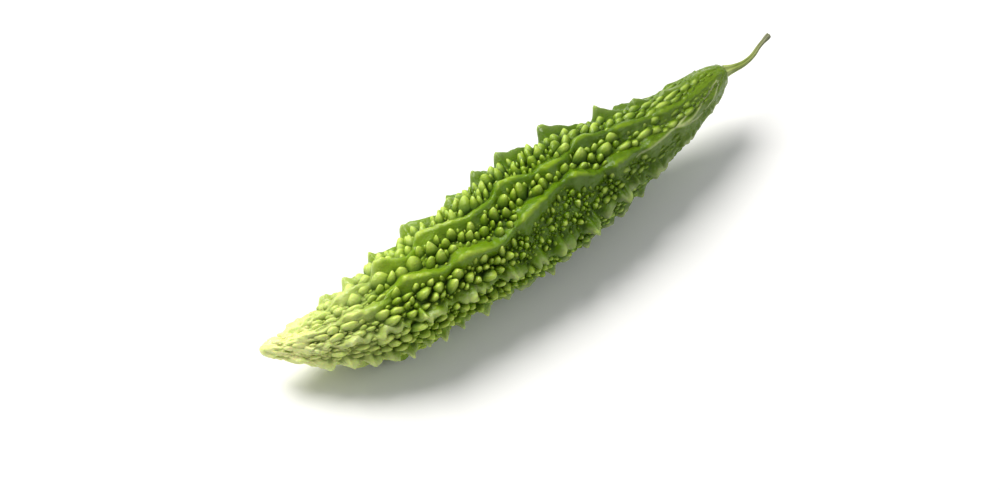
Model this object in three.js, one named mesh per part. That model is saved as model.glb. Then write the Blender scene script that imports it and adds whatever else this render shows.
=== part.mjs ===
// A bitter gourd as picked, lying on its lowest teeth, with its cut stalk.
// Millimetres, +Z up. X runs along the gourd from the blossom tip to the stalk.
// The origin is on the surface it rests on, under the middle of its box.

import * as THREE from 'three';
import { LoftGeometry } from 'three/addons/geometries/LoftGeometry.js';
import { ConvexHull } from 'three/addons/math/ConvexHull.js';

// Driving dimensions
const FRUIT_LENGTH = 209.4;
const TIP_X = -116.4; // where the blossom tip lies along X
const SIDE_SHIFT = 9.2; // brings the middle of the box to Y = 0
const JOINT_GAP = 0.3; // clear gap between the fruit and the stalk's foot

// Stations along the fruit from the blossom tip, each with a value there
const FLOOR_RADIUS = [
  [5, 4.4], [16, 8.2], [44, 14.6], [73, 16.8], [110, 18.8],
  [135, 17.6], [159, 13.9], [180, 10.6], [193, 8.0], [203, 5.5], [207.4, 3.7],
];
const MIDLINE_SIDE = [
  [0, 0], [16, -7.8], [44, -14.0], [73, -11.6], [110, -9.4],
  [135, -8.0], [159, -6.8], [180, -5.6], [195, -3.0], [FRUIT_LENGTH, -0.4],
];
const MIDLINE_HEIGHT = [
  [0, 16.2], [44, 18.8], [80, 20.5], [108, 21.2], [138, 20.9], [159, 21.9], [180, 23.2], [FRUIT_LENGTH, 25.5],
];
const TWIST = [
  [0, 18], [45, 17], [75, 4], [100, 0], [140, 0], [165, -12], [190, -24], [FRUIT_LENGTH, -30],
];
const RIDGE_HEIGHT = [
  [0, 0.4], [16, 2.2], [44, 4.6], [73, 5.4], [110, 5.8], [135, 5.4],
  [159, 4.0], [180, 1.7], [195, 0.9], [FRUIT_LENGTH, 0.3],
];
const BUMP_SIZE = [
  [0, 0.45], [20, 0.6], [50, 0.9], [80, 1], [135, 1], [160, 0.85], [185, 0.6], [FRUIT_LENGTH, 0.35],
];
const BUMP_RISE = [
  [0, 0.2], [18, 0.45], [45, 0.9], [75, 1], [130, 1], [155, 0.8], [180, 0.42], [FRUIT_LENGTH, 0.1],
];

// Lengthwise ridges: degrees round the fruit from straight up, positive toward +Y,
// the power by which a tooth's back falls (over 1 stays high, under 1 drops at once),
// how thick the ridge is beside the usual one,
// where each tooth stands along the ridge, and how the ridge sways, in degrees, at stations
const RIDGES = [
  {
    angle: 48.6,
    back: 0.75,
    width: 0.8,
    teeth: [14, 28.6, 38, 51, 66, 84.5, 109.4, 130.6, 153.5, 168, 180, 197],
    sway: [[70, 0], [84, -5], [98, 0], [109, -3], [122, 0]],
  },
  {
    angle: 8.6,
    back: 1.5,
    width: 1.15,
    teeth: [12, 30, 47, 66, 101, 118, 135.5, 153, 172, 190],
    sway: [
      [48, 0], [57, -8], [66, 7], [73, 2], [84, -7], [94, -4],
      [101, 3], [113, -6], [127, -10], [136, 0], [150, -3],
    ],
  },
  {
    angle: -31.4,
    back: 1.5,
    width: 1.15,
    teeth: [10, 28.8, 52, 73, 100, 125.6, 143, 160, 178, 196],
    sway: [
      [30, 0], [37, -5], [50, 8], [62, -1], [66, -5], [74, 0],
      [88, -7], [100, 2], [117, 9], [126, 9], [134, -1], [150, 0],
    ],
  },
  {
    angle: -71.4,
    back: 1.2,
    width: 0.95,
    teeth: [13, 26, 38, 52, 69, 88, 110, 125, 142, 160, 178, 194],
    sway: [[60, 0], [85, -3], [105, -9], [125, -8], [148, 0]],
  },
  {
    angle: -114.4,
    back: 0.9,
    width: 0.7,
    teeth: [11, 19, 28, 43, 52, 61, 77, 92, 107, 124, 143, 163, 182, 198],
    sway: [[0, 0]],
  },
  {
    angle: -160,
    back: 1.2,
    width: 0.9,
    teeth: [14, 27, 42, 58, 76, 94, 113, 131, 150, 168, 187],
    sway: [[0, 0]],
  },
  {
    angle: 160,
    back: 1.2,
    width: 0.9,
    teeth: [11, 24, 38, 54, 70, 88, 104, 122, 141, 161, 180, 197],
    sway: [[0, 0]],
  },
  {
    angle: 120,
    back: 1.2,
    width: 0.9,
    teeth: [15, 29, 45, 62, 79, 97, 118, 136, 155, 172, 191],
    sway: [[20, 0], [60, 5], [105, -4], [150, 4]],
  },
  {
    angle: 84.6,
    back: 0.75,
    width: 0.8,
    teeth: [13, 25, 40, 57, 74, 90, 103.5, 124, 145, 165, 186],
    sway: [[50, 0], [90, -4], [130, 3], [170, 0]],
  },
];
const TOOTH_FACE = 4.6; // length of a tooth's steep face, which looks to the blossom tip
const TOOTH_FACE_SHARE = 0.4; // the most of a tooth's pitch that its face may take
const NOTCH_LEVEL = 0.26; // a notch's height as a share of its ridge's height
const RIDGE_HALF_WIDTH = 2.7;
const RIDGE_ROUNDNESS = 2.2;
const NOTCH_WIDTH = 0.6; // a notch's thickness as a share of its tooth's

// Rounded bumps between the ridges
const BUMP_SEED = 4242;
const BUMP_KINDS = [
  { radius: 2.3, height: 2.9, tries: 700 },
  { radius: 1.85, height: 3.3, tries: 3200 },
  { radius: 1.45, height: 2.4, tries: 6000 },
];
const BUMP_STRETCH = [
  [0, 2.4], [30, 2.1], [55, 1.35], [80, 1], [140, 1], [170, 1.4], [FRUIT_LENGTH, 1.8],
];
const BUMP_ROUNDNESS = 0.95; // power of the cosine that a bump rises by
const BUMP_PACKING = 0.86; // how close two bumps may stand, as a share of their radii
const BUMP_SPREAD = 0.16; // how much a bump's size may differ from its kind's
const BUMP_START = 6;
const BUMP_END = 200;
const RIDGE_FOOT = 1.9; // half the strip under a ridge that bumps keep clear of

// Stalk: centre points beyond the fruit's end, the radius at each, its grooves
const STALK_PATH = [
  [0, 0, 0], [3.5, -0.9, 0.1], [7.5, -1.5, 0.5], [12.5, -0.8, 0.9], [17.5, 1.0, 1.9], [23, 2.4, 2.9],
];
const STALK_RADII = [
  [0, 2.3], [0.12, 1.75], [0.3, 1.25], [0.6, 0.95], [0.85, 0.9], [0.95, 1.15], [1, 1.0],
];
const STALK_RIBS = 5;
const STALK_RIB_DEPTH = 0.09;
const STALK_SIDES = 20;
const STALK_STEPS = 24;

// Spacing of the corners that the skin is folded at
const RIDGE_STEP = 3.4;
const RIDGE_LANES = [0, -0.5, 0.5, -1.25, 1.25]; // across a ridge, in half-widths
const BUMP_CORNERS = 6;
const SHOULDER_CORNERS = 3;
const SHOULDER_SHARE = 0.52; // how far out a wide bump's shoulder corners stand
const SHOULDER_LEAST = 2; // bumps narrower than this have no shoulder corners
const SHOULDER_SPACING = 0.7;
const LANE_SPACING = 0.8;
const LEAST_SPACING = 1.15;
const END_CLEARANCE = 0.6;
const OPEN_SPACING = 3.2;
const OPEN_TRIES = 16000;

const DEGREE = Math.PI / 180;
const TURN = 2 * Math.PI;

// A smooth curve through stations
function through(stations, s) {
  const last = stations.length - 1;
  if (s <= stations[0][0]) return stations[0][1];
  if (s >= stations[last][0]) return stations[last][1];
  let i = 0;
  while (s > stations[i + 1][0]) i += 1;
  const [s0, v0] = stations[i];
  const [s1, v1] = stations[i + 1];
  const run = s1 - s0;
  const chord = (v1 - v0) / run;
  const before = i > 0 ? (v0 - stations[i - 1][1]) / (s0 - stations[i - 1][0]) : chord;
  const after = i + 1 < last ? (stations[i + 2][1] - v1) / (stations[i + 2][0] - s1) : chord;
  const slope0 = (before + chord) / 2;
  const slope1 = (chord + after) / 2;
  const t = (s - s0) / run;
  const u = 1 - t;
  return v0 * u * u * (1 + 2 * t) + v1 * t * t * (1 + 2 * u) + run * t * u * (slope0 * u - slope1 * t);
}

// The floor's radius, closed by a dome at each end
function floorRadius(s) {
  const [tipDome, tipRadius] = FLOOR_RADIUS[0];
  const [endDome, endRadius] = FLOOR_RADIUS[FLOOR_RADIUS.length - 1];
  if (s < tipDome) return tipRadius * Math.sqrt(Math.max(s, 0) / tipDome);
  if (s > endDome) return endRadius * Math.sqrt(Math.max(FRUIT_LENGTH - s, 0) / (FRUIT_LENGTH - endDome));
  return through(FLOOR_RADIUS, s);
}

function smooth(x) {
  const t = Math.min(Math.max(x, 0), 1);
  return t * t * (3 - 2 * t);
}

// Draws between 0 and 1 from a seed, the same on every machine
function makeDraws(seed) {
  let state = seed;
  return () => {
    state = (state * 16807) % 2147483647;
    return state / 2147483647;
  };
}

function turnBetween(a, b) {
  let turn = (a - b) % TURN;
  if (turn > Math.PI) turn -= TURN;
  if (turn < -Math.PI) turn += TURN;
  return turn;
}

function ridgeAngle(ridge, s) {
  return (ridge.angle + through(TWIST, s) + through(ridge.sway, s)) * DEGREE;
}

// How far a tooth's steep face reaches back from it
function faceLength(pitch) {
  return Math.min(TOOTH_FACE, TOOTH_FACE_SHARE * pitch);
}

// A tooth line: 1 at each tooth, 0 in each notch, steep toward the blossom tip
function toothLine({ teeth, back }, s) {
  let i = 0;
  while (i < teeth.length && s > teeth[i]) i += 1;
  const start = i > 0 ? teeth[i - 1] : 0;
  const end = i < teeth.length ? teeth[i] : FRUIT_LENGTH;
  const notch = end - faceLength(end - start);
  if (s > notch) return smooth((s - notch) / (end - notch));
  return 1 - ((s - start) / (notch - start)) ** back;
}

function ridgeWidth(s) {
  return RIDGE_HALF_WIDTH * Math.max(through(BUMP_SIZE, s), 0.5);
}

function ridgeRise(s, angle) {
  const radius = floorRadius(s);
  const width = ridgeWidth(s);
  let rise = 0;
  for (const ridge of RIDGES) {
    const across = Math.abs(turnBetween(angle, ridgeAngle(ridge, s))) * radius;
    if (across < 4 * width) {
      const tooth = toothLine(ridge, s);
      const level = NOTCH_LEVEL + (1 - NOTCH_LEVEL) * tooth;
      const half = width * ridge.width * (NOTCH_WIDTH + (1 - NOTCH_WIDTH) * tooth);
      const fall = Math.exp(-((across / half) ** RIDGE_ROUNDNESS));
      rise = Math.max(rise, through(RIDGE_HEIGHT, s) * level * fall);
    }
  }
  return rise;
}

// Bumps are drawn one valley at a time, large ones first, each clear of those before it
function placeBumps() {
  const draw = makeDraws(BUMP_SEED);
  const bumps = [];
  const order = [...RIDGES].sort((a, b) => a.angle - b.angle);
  for (const kind of BUMP_KINDS) {
    for (let n = 0; n < kind.tries; n += 1) {
      const valley = Math.floor(draw() * order.length);
      const s = BUMP_START + (BUMP_END - BUMP_START) * draw();
      const share = draw();
      const size = through(BUMP_SIZE, s) * (1 + BUMP_SPREAD * (2 * draw() - 1));
      const lower = order[valley];
      const upper = order[(valley + 1) % order.length];
      const width = (ridgeAngle(upper, s) - ridgeAngle(lower, s) + TURN) % TURN;
      const radius = floorRadius(s);
      const foot = (RIDGE_FOOT + 0.45 * kind.radius) * size / radius;
      if (width < 2.2 * foot) continue;
      const angle = ridgeAngle(lower, s) + foot + (width - 2 * foot) * share;
      const reach = kind.radius * size;
      const stretch = through(BUMP_STRETCH, s);
      const crowded = bumps.some((other) => {
        const room = BUMP_PACKING * (other.reach + reach);
        const along = (other.s - s) / stretch;
        if (Math.abs(along) >= room) return false;
        return Math.hypot(along, turnBetween(other.angle, angle) * radius) < room;
      });
      const height = kind.height * size * through(BUMP_RISE, s);
      if (!crowded) bumps.push({ s, angle, reach, stretch, height });
    }
  }
  return bumps;
}

const bumps = placeBumps();

function bumpRise(s, angle) {
  const radius = floorRadius(s);
  let rise = 0;
  for (const bump of bumps) {
    const along = (bump.s - s) / bump.stretch;
    if (Math.abs(along) < bump.reach) {
      const across = turnBetween(angle, bump.angle) * radius;
      const share = Math.hypot(along, across) / bump.reach;
      const swell = share < 1 ? Math.cos((share * Math.PI) / 2) ** BUMP_ROUNDNESS : 0;
      rise = Math.max(rise, bump.height * swell);
    }
  }
  return rise;
}

// A point of the skin: s along the fruit, angle round it from straight up
function skinPoint(s, angle) {
  const floor = floorRadius(s);
  const radius = floor && floor + Math.max(ridgeRise(s, angle), bumpRise(s, angle));
  return new THREE.Vector3(
    TIP_X + s,
    SIDE_SHIFT + through(MIDLINE_SIDE, s) + radius * Math.sin(angle),
    Math.max(through(MIDLINE_HEIGHT, s) + radius * Math.cos(angle), 0),
  );
}

// Corners where the skin is folded: the tip, the stalk end, the ridges with their feet,
// each bump's top, shoulders and foot, then the open floor between them
function placeCorners() {
  const corners = [{ s: 0, angle: 0 }, { s: FRUIT_LENGTH, angle: 0 }];
  const add = (s, angle, spacing) => {
    if (s < END_CLEARANCE || s > FRUIT_LENGTH - END_CLEARANCE) return;
    const radius = floorRadius(s);
    const near = (other) => Math.abs(other.s - s) < spacing
      && Math.hypot(other.s - s, turnBetween(other.angle, angle) * radius) < spacing;
    if (!corners.some(near)) corners.push({ s, angle });
  };
  for (const lane of RIDGE_LANES) {
    for (const ridge of RIDGES) {
      const stops = ridge.teeth.flatMap((tooth, i) => {
        const next = i + 1 < ridge.teeth.length ? ridge.teeth[i + 1] : FRUIT_LENGTH;
        const back = next - tooth - faceLength(next - tooth);
        const steps = Math.max(1, Math.round(back / RIDGE_STEP));
        return Array.from({ length: steps + 1 }, (_, n) => tooth + (back * n) / steps);
      });
      for (const s of [4, 8, ...stops]) {
        const half = ridgeWidth(s) * ridge.width;
        add(s, ridgeAngle(ridge, s) + (lane * half) / floorRadius(s), LANE_SPACING);
      }
    }
  }
  const ring = (bump, count, reach, spacing) => {
    for (let k = 0; k < count; k += 1) {
      const turn = (k / count) * TURN;
      const angle = bump.angle + (reach * Math.sin(turn)) / floorRadius(bump.s);
      add(bump.s + reach * bump.stretch * Math.cos(turn), angle, spacing);
    }
  };
  for (const bump of bumps) add(bump.s, bump.angle, LEAST_SPACING);
  for (const bump of bumps.filter(({ reach }) => reach > SHOULDER_LEAST)) {
    ring(bump, SHOULDER_CORNERS, SHOULDER_SHARE * bump.reach, SHOULDER_SPACING);
  }
  for (const bump of bumps) ring(bump, BUMP_CORNERS, bump.reach, LEAST_SPACING);
  const draw = makeDraws(BUMP_SEED + 1);
  for (let n = 0; n < OPEN_TRIES; n += 1) {
    add(FRUIT_LENGTH * draw(), TURN * draw(), OPEN_SPACING);
  }
  return corners;
}

// The corners are laid on a ball by a map that keeps small shapes true, and the
// ball's hull gives the triangles between them
function foldSkin(corners) {
  const steps = 2000;
  const stretch = [0];
  for (let n = 1; n <= steps; n += 1) {
    const s = ((n - 0.5) / steps) * FRUIT_LENGTH;
    stretch.push(stretch[n - 1] + FRUIT_LENGTH / steps / Math.max(floorRadius(s), 0.3));
  }
  const middle = stretch[steps] / 2;
  const places = new Map();
  for (const { s, angle } of corners) {
    const at = (s / FRUIT_LENGTH) * steps;
    const n = Math.min(Math.floor(at), steps - 1);
    const reach = stretch[n] + (stretch[n + 1] - stretch[n]) * (at - n) - middle;
    const onAxis = s === 0 || s === FRUIT_LENGTH;
    const across = onAxis ? 0 : 1 / Math.cosh(reach);
    const along = onAxis ? Math.sign(s - 1) : Math.tanh(reach);
    places.set(
      new THREE.Vector3(along, across * Math.sin(angle), across * Math.cos(angle)),
      skinPoint(s, angle),
    );
  }
  const hull = new ConvexHull().setFromPoints([...places.keys()]);
  const positions = [];
  for (const face of hull.faces) {
    let edge = face.edge;
    do {
      positions.push(...places.get(edge.head().point).toArray());
      edge = edge.next;
    } while (edge !== face.edge);
  }
  const geometry = new THREE.BufferGeometry();
  geometry.setAttribute('position', new THREE.Float32BufferAttribute(positions, 3));
  geometry.computeVertexNormals();
  return geometry;
}

function makeFruit() {
  const material = new THREE.MeshStandardMaterial({ color: 0x6f9a2e, roughness: 0.42, metalness: 0 });
  const fruit = new THREE.Mesh(foldSkin(placeCorners()), material);
  fruit.name = 'fruit';
  return fruit;
}

function makeStalk() {
  const start = new THREE.Vector3(
    TIP_X + FRUIT_LENGTH + JOINT_GAP,
    SIDE_SHIFT + through(MIDLINE_SIDE, FRUIT_LENGTH),
    through(MIDLINE_HEIGHT, FRUIT_LENGTH),
  );
  const path = new THREE.CatmullRomCurve3(STALK_PATH.map((p) => new THREE.Vector3(...p).add(start)));
  const up = new THREE.Vector3(0, 0, 1);
  const sections = [];
  for (let n = 0; n <= STALK_STEPS; n += 1) {
    const t = n / STALK_STEPS;
    const along = n === 0 ? new THREE.Vector3(1, 0, 0) : path.getTangentAt(t);
    const side = new THREE.Vector3().crossVectors(up, along).normalize();
    const top = new THREE.Vector3().crossVectors(along, side);
    const centre = path.getPointAt(t);
    const section = [];
    for (let k = 0; k < STALK_SIDES; k += 1) {
      const turn = (k / STALK_SIDES) * TURN;
      const radius = through(STALK_RADII, t) * (1 + STALK_RIB_DEPTH * Math.cos(STALK_RIBS * turn));
      const reach = side.clone().multiplyScalar(radius * Math.cos(turn));
      section.push(reach.addScaledVector(top, radius * Math.sin(turn)).add(centre));
    }
    sections.push(section);
  }
  const material = new THREE.MeshStandardMaterial({ color: 0x8a9a45, roughness: 0.6, metalness: 0 });
  const stalk = new THREE.Mesh(new LoftGeometry(sections, { capStart: true, capEnd: true }), material);
  stalk.name = 'stalk';
  return stalk;
}

const gourd = new THREE.Group();
gourd.add(makeFruit(), makeStalk());

export default gourd;
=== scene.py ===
"""A bitter gourd as picked, lying on its lowest teeth on a pale floor.

Metres, +Z up. X runs along the gourd from the blossom tip to the cut stalk. The skin is worked out
in millimetres: how far along the fruit from its tip, which way round it, and how high it stands
over a plain round base.
"""
import math
from collections import namedtuple

import bmesh
import bpy
import numpy as np
from bpy.props import FloatProperty, FloatVectorProperty, IntProperty, PointerProperty
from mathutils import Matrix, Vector, noise


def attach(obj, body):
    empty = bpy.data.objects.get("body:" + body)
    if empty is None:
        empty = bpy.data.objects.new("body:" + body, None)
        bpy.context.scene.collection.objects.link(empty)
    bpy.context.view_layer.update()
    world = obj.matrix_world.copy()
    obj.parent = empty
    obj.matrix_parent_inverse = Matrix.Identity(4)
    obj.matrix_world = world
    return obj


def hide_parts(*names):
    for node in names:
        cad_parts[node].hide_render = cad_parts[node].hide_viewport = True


bl_info = {
    "name": "Bitter gourd",
    "version": (1, 0, 0),
    "blender": (4, 5, 0),
    "location": "3D View > Sidebar > Gourd",
    "description": "Builds a ridged bitter gourd with its stalk, and the table it lies on",
    "category": "Add Mesh",
}

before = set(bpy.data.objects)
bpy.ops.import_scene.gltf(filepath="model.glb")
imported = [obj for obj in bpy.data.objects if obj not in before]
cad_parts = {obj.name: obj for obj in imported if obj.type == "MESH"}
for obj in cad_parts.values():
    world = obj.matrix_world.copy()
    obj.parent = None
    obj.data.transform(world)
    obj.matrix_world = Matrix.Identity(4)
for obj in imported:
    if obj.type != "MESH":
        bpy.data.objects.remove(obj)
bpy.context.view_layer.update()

MM = 0.001
DEGREE = math.pi / 180
TURN = 2 * math.pi
TINY = 1e-9

# Fruit
FRUIT_LENGTH = 209.4
TIP_X = -116.4
SIDE_SHIFT = 9.2

# Stations along the fruit from the blossom tip, each with a value there
BASE_RADIUS = [
    (5, 3.5), (10, 5.6), (16, 7.9), (44, 14.6), (73, 16.8), (110, 18.8),
    (135, 17.6), (159, 13.9), (180, 10.6), (193, 8.4), (203, 6.1), (207.4, 4.1),
]
MIDLINE_SIDE = [
    (0, 0), (16, -7.8), (44, -14.0), (73, -11.6), (110, -9.4),
    (135, -8.0), (159, -6.8), (180, -5.6), (195, -3.0), (FRUIT_LENGTH, -0.4),
]
MIDLINE_HEIGHT = [
    (0, 16.2), (44, 18.8), (80, 20.5), (108, 21.2),
    (138, 20.9), (159, 21.9), (180, 23.2), (FRUIT_LENGTH, 25.5),
]
TWIST = [(0, 18), (45, 17), (75, 4), (100, 0), (140, 0), (165, -12), (190, -24), (FRUIT_LENGTH, -30)]
RIDGE_HEIGHT = [
    (0, 0.4), (16, 2.2), (44, 4.6), (73, 5.4), (110, 5.8), (135, 5.4),
    (159, 4.0), (180, 1.7), (195, 0.9), (FRUIT_LENGTH, 0.3),
]
BUMP_SIZE = [
    (0, 0.45), (20, 0.6), (50, 0.9), (80, 1), (135, 1), (160, 0.85), (185, 0.6), (FRUIT_LENGTH, 0.35),
]
BUMP_RISE = [
    (0, 0.25), (18, 0.6), (45, 0.95), (75, 1), (125, 1),
    (148, 0.7), (168, 0.48), (185, 0.36), (FRUIT_LENGTH, 0.15),
]

# Lengthwise ridges: the angle round the fruit from straight up, in degrees, positive toward +Y,
# the power by which a tooth's back falls, how thick the ridge is beside the usual one, where each
# tooth stands, how the ridge sways, in degrees, how high it is beside the usual one, how high its
# notches are, how ragged its edge is, how pale the rims of its teeth are, and how large the
# bumps above it are
Ridge = namedtuple("Ridge", "angle back thickness teeth sway lift notch ragged rim bumps")
RIDGES = [
    Ridge(
        angle=48.6, back=0.75, thickness=0.8, ragged=0.1, rim=0.15,
        teeth=[14, 28.6, 38, 51, 66, 84.5, 98.5, 109.4, 130.6, 153.5, 168, 180, 197],
        sway=[(70, 0), (84, -5), (98, 0), (109, -3), (122, 0)],
        lift=[(0, 1.5), (60, 1.35), (76, 1.4), (85, 0.9), (94, 1.25), (165, 1.4), (190, 1)],
        notch=[(0, 0.16)], bumps=[(0, 0.72)],
    ),
    Ridge(
        angle=8.6, back=1.5, thickness=1.15, ragged=0.06, rim=0,
        teeth=[12, 30, 47, 66, 101, 118, 135.5, 153, 172, 190],
        sway=[(48, 0), (57, -8), (66, 7), (73, 2), (84, -7), (94, -4),
              (101, 3), (113, -6), (127, -10), (136, 0), (150, -3)],
        lift=[(0, 1.15), (38, 1.15), (47, 1.65), (58, 1.15), (75, 0.92)],
        notch=[(0, 0.2), (55, 0.25), (75, 0.6)], bumps=[(0, 1)],
    ),
    Ridge(
        angle=-31.4, back=1.5, thickness=1.15, ragged=0.06, rim=0,
        teeth=[10, 28.8, 52, 73, 100, 125.6, 143, 160, 178, 196],
        sway=[(30, 0), (37, -5), (50, 8), (62, -1), (66, -5), (74, 0),
              (88, -7), (100, 2), (117, 9), (126, 9), (134, -1), (150, 0)],
        lift=[(0, 1)], notch=[(0, 0.25), (50, 0.3), (75, 0.5)], bumps=[(0, 1)],
    ),
    Ridge(
        angle=-71.4, back=1.2, thickness=0.85, ragged=0.34, rim=0.35,
        teeth=[13, 26, 38, 52, 69, 88, 101, 110, 125, 133, 142, 160, 178, 194],
        sway=[(60, 0), (85, -3), (105, -9), (125, -8), (148, 0)],
        lift=[(0, 1.05)], notch=[(0, 0.3)],
        bumps=[(0, 1), (80, 1), (100, 0.66), (145, 0.7), (165, 0.55)],
    ),
    Ridge(
        angle=-114.4, back=1.25, thickness=0.55, ragged=0.26, rim=0.5,
        teeth=[7.5, 14.9, 23.6, 29.8, 37, 43, 51, 57, 66, 77, 87, 93,
               107, 113, 124, 136, 142, 155, 163, 182, 198],
        sway=[(0, 0)],
        lift=[(0, 2.2), (30, 1.85), (37, 1.7), (44, 1.1), (52, 0.85), (90, 0.9), (120, 0.6)],
        notch=[(0, 0.36), (60, 0.2)], bumps=[(0, 1), (90, 0.9), (120, 0.75), (165, 0.6)],
    ),
    Ridge(
        angle=-160, back=1.2, thickness=0.9, ragged=0.08, rim=0,
        teeth=[14, 27, 42, 58, 76, 94, 113, 131, 150, 168, 187],
        sway=[(0, 0)], lift=[(0, 1)], notch=[(0, 0.26)], bumps=[(0, 0.75)],
    ),
    Ridge(
        angle=160, back=1.2, thickness=0.9, ragged=0.08, rim=0,
        teeth=[11, 24, 38, 54, 70, 88, 104, 122, 141, 161, 180, 197],
        sway=[(0, 0)], lift=[(0, 1)], notch=[(0, 0.26)], bumps=[(0, 1)],
    ),
    Ridge(
        angle=120, back=1.2, thickness=0.9, ragged=0.08, rim=0,
        teeth=[15, 29, 45, 62, 79, 97, 118, 136, 155, 172, 191],
        sway=[(20, 0), (60, 5), (105, -4), (150, 4)],
        lift=[(0, 1)], notch=[(0, 0.26)], bumps=[(0, 1)],
    ),
    Ridge(
        angle=84.6, back=0.75, thickness=0.8, ragged=0.1, rim=0,
        teeth=[13, 25, 40, 57, 74, 90, 103.5, 124, 145, 165, 186],
        sway=[(50, 0), (90, -4), (130, 3), (170, 0)],
        lift=[(0, 1.15)], notch=[(0, 0.2)], bumps=[(0, 1)],
    ),
]

# How the edges of the ridges ripple up and down, and ruffle sideways
RIPPLE_SEED = 31
RIPPLE_STEP = 1.5
RUFFLE = 3.2

# A tooth's steep face: how far it reaches, and the most it takes of the way between two teeth
TOOTH_FACE = 4.6
TOOTH_FACE_SHARE = 0.4

# A ridge's section, its width in the notches beside that at the teeth, and its least size
RIDGE_HALF_WIDTH = 2.6
RIDGE_ROUNDNESS = 1.45
CREST_ROUND = 0.5
NOTCH_WIDTH = 0.45
LEAST_RIDGE_SIZE = 0.5

# How light a crest is all along and how much more at a tooth, and where a tooth's pale rim starts
# The light crests are partly their own paler green and partly painted light; the pale rims are partly
# their own paleness and partly painted light through the thin fins
CREST_LIGHT = 0.55
TOOTH_LIGHT = 0.45
RIM_START = 0.55
RIM_BLEND = 0.4

# Rounded bumps between the ridges, large kinds first: radius, height and how many places are tried
BUMP_SEED = 4242
BUMP_KINDS = [
    (2.1, 4.5, 1500), (1.7, 4.1, 5000), (1.3, 3.2, 8000), (0.9, 1.6, 14000), (0.65, 1.0, 22000),
]
BUMP_STRETCH = [
    (0, 2.4), (30, 2.1), (55, 1.35), (80, 1), (125, 1), (150, 1.6), (175, 2.2), (FRUIT_LENGTH, 2.4),
]
STRETCH_SPREAD = 0.25
BUMP_ROUNDNESS = 0.95
BUMP_PACKING = 0.77
BUMP_SPREAD = 0.26
BUMP_START = 6
BUMP_END = 200
BUMP_CELL = 10

# Room left for a ridge's foot beside the bumps, and how wide a valley is, at least, to hold one
RIDGE_FOOT = 1.9
NOTCH_FOOT = 0.35
BUMP_FOOT = 0.45
VALLEY_ROOM = 1.1

# Creases near the blossom tip and soft lumps: depths, where they fade in and out, and each noise's
# start, lengthwise scale and crosswise scale
TIP_FADE = 3
END_FADE = 4
WRINKLE_DEPTH = 1.05
WRINKLE_SHARE = 0.22
TIP_WRINKLE_SHARE = 0.78
WRINKLE_FADE_START = 16
WRINKLE_FADE_LENGTH = 36
CREASE_SINK = 0.7
FOLD_SHARE = 0.6
LUMP_HEIGHT = 0.7
LUMP_LOSS = 0.7
LUMP_FADE_START = 150
LUMP_FADE_LENGTH = 30
CREASE_NOISE = (0, 0.13, 0.55)
FOLD_NOISE = (7, 0.3, 1.2)
LUMP_NOISE = (31, 0.22, 0.3)

# Hollows between the bumps: how far round a place is looked at, and what counts as deep
# The depth darkens the hollows as painted shade and dulls them; how high the surroundings stand sets the
# painted shade at the feet of crowded pegs
CAVITY_ROWS = 4
CAVITY_COLUMNS = 5
CAVITY_DEPTH = 2.4
CAVITY_SCALE = [(0, 0.25), (20, 0.35), (50, 0.85), (80, 1), (160, 1), (185, 0.6), (FRUIT_LENGTH, 0.4)]

# Thin pale scars near the stalk: places along the fruit, each with an angle round it
SCARS = [
    [(153, -42.5), (164.5, -43.5), (174, -44), (183.2, -51), (189.5, -46.5), (197.8, -38), (202, -36)],
    [(174, -44), (181, -54), (187.8, -66), (192.8, -66), (196.8, -57.5), (201.2, -44)],
    [(174, -44), (181.8, -39.5), (187.8, -40.5), (194.5, -38), (201.2, -30)],
]
SCAR_RADIUS = 0.3
SCAR_HEIGHT = 0.2
SCAR_PALENESS = 0.55

# Pegs, the upper parts of the bumps: each piece's name, the least reach of its bumps, the reach
# that they stay under, and the segments and rings of each peg
PEG_SHARE = [("gourd_bumps", 1.15, 99, 8, 7), ("gourd_small_bumps", 0, 1.15, 6, 5)]

# A peg's shape: how deep it is sunk, how wide it is beside its bump, how high it is widest, how
# much its top draws in, how far it leans along and across, how deep its two and three lobes are,
# and how far all pegs stay from the fruit's ends
PEG_SEED = 977
PEG_SINK = 1.2
PEG_WIDTH = 1.04
PEG_WAIST = 0.3
PEG_POINT = 0.4
PEG_POINT_SPREAD = 0.4
PEG_LEAN = (0.1, 0.26)
PEG_LEAN_SPREAD = 0.42
PEG_LOBES = (0.13, 0.1)
END_MARGIN = 0.5

# How much of each bump the skin itself rises under its peg
MOUND_SHARE = 0.3

# How light a peg's top is, by its reach and by its draw, partly its own pale tip and partly a painted
# highlight, and how its foot darkens as painted shade
PALE_REACH = 1.5
SMALL_PEG_PALENESS = 0.45
PEG_TONE = 0.8
PEG_TONE_SPREAD = 0.4
LEAST_SHADED_HEIGHT = 1.5

# Rings of the fruit's ball that are drawn close together at either end
END_RINGS = 8

# Stalk: centre points beyond the fruit's end, its radius at shares of its length, and its ribs
STALK_GAP = 0.3
STALK_PATH = [
    (-0.4, 0, 0), (3.5, -0.9, 0.1), (7.5, -1.5, 0.5), (12.5, -0.8, 0.9), (17.5, 1.0, 1.9), (23, 2.4, 2.9),
]
STALK_RADII = [(0, 2.5), (0.12, 1.75), (0.3, 1.25), (0.6, 0.95), (0.85, 0.9), (0.95, 1.15), (1, 1.05)]
STALK_RIBS = 5
RIB_DEPTH = 0.11
RIB_TWIST = 1.5
STALK_RINGS = 160
STALK_SEGMENTS = 60
STALK_CAP_RINGS = 10
STALK_STEP = 0.01
CUT_REACH = 0.75

# Where the colours stand, as shares of the way along the fruit and along the stalk
SKIN_STATIONS = (0.05, 0.23, 0.48, 0.67, 0.97)
STALK_STATIONS = (0.04, 0.2, 0.6, 0.95)

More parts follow.
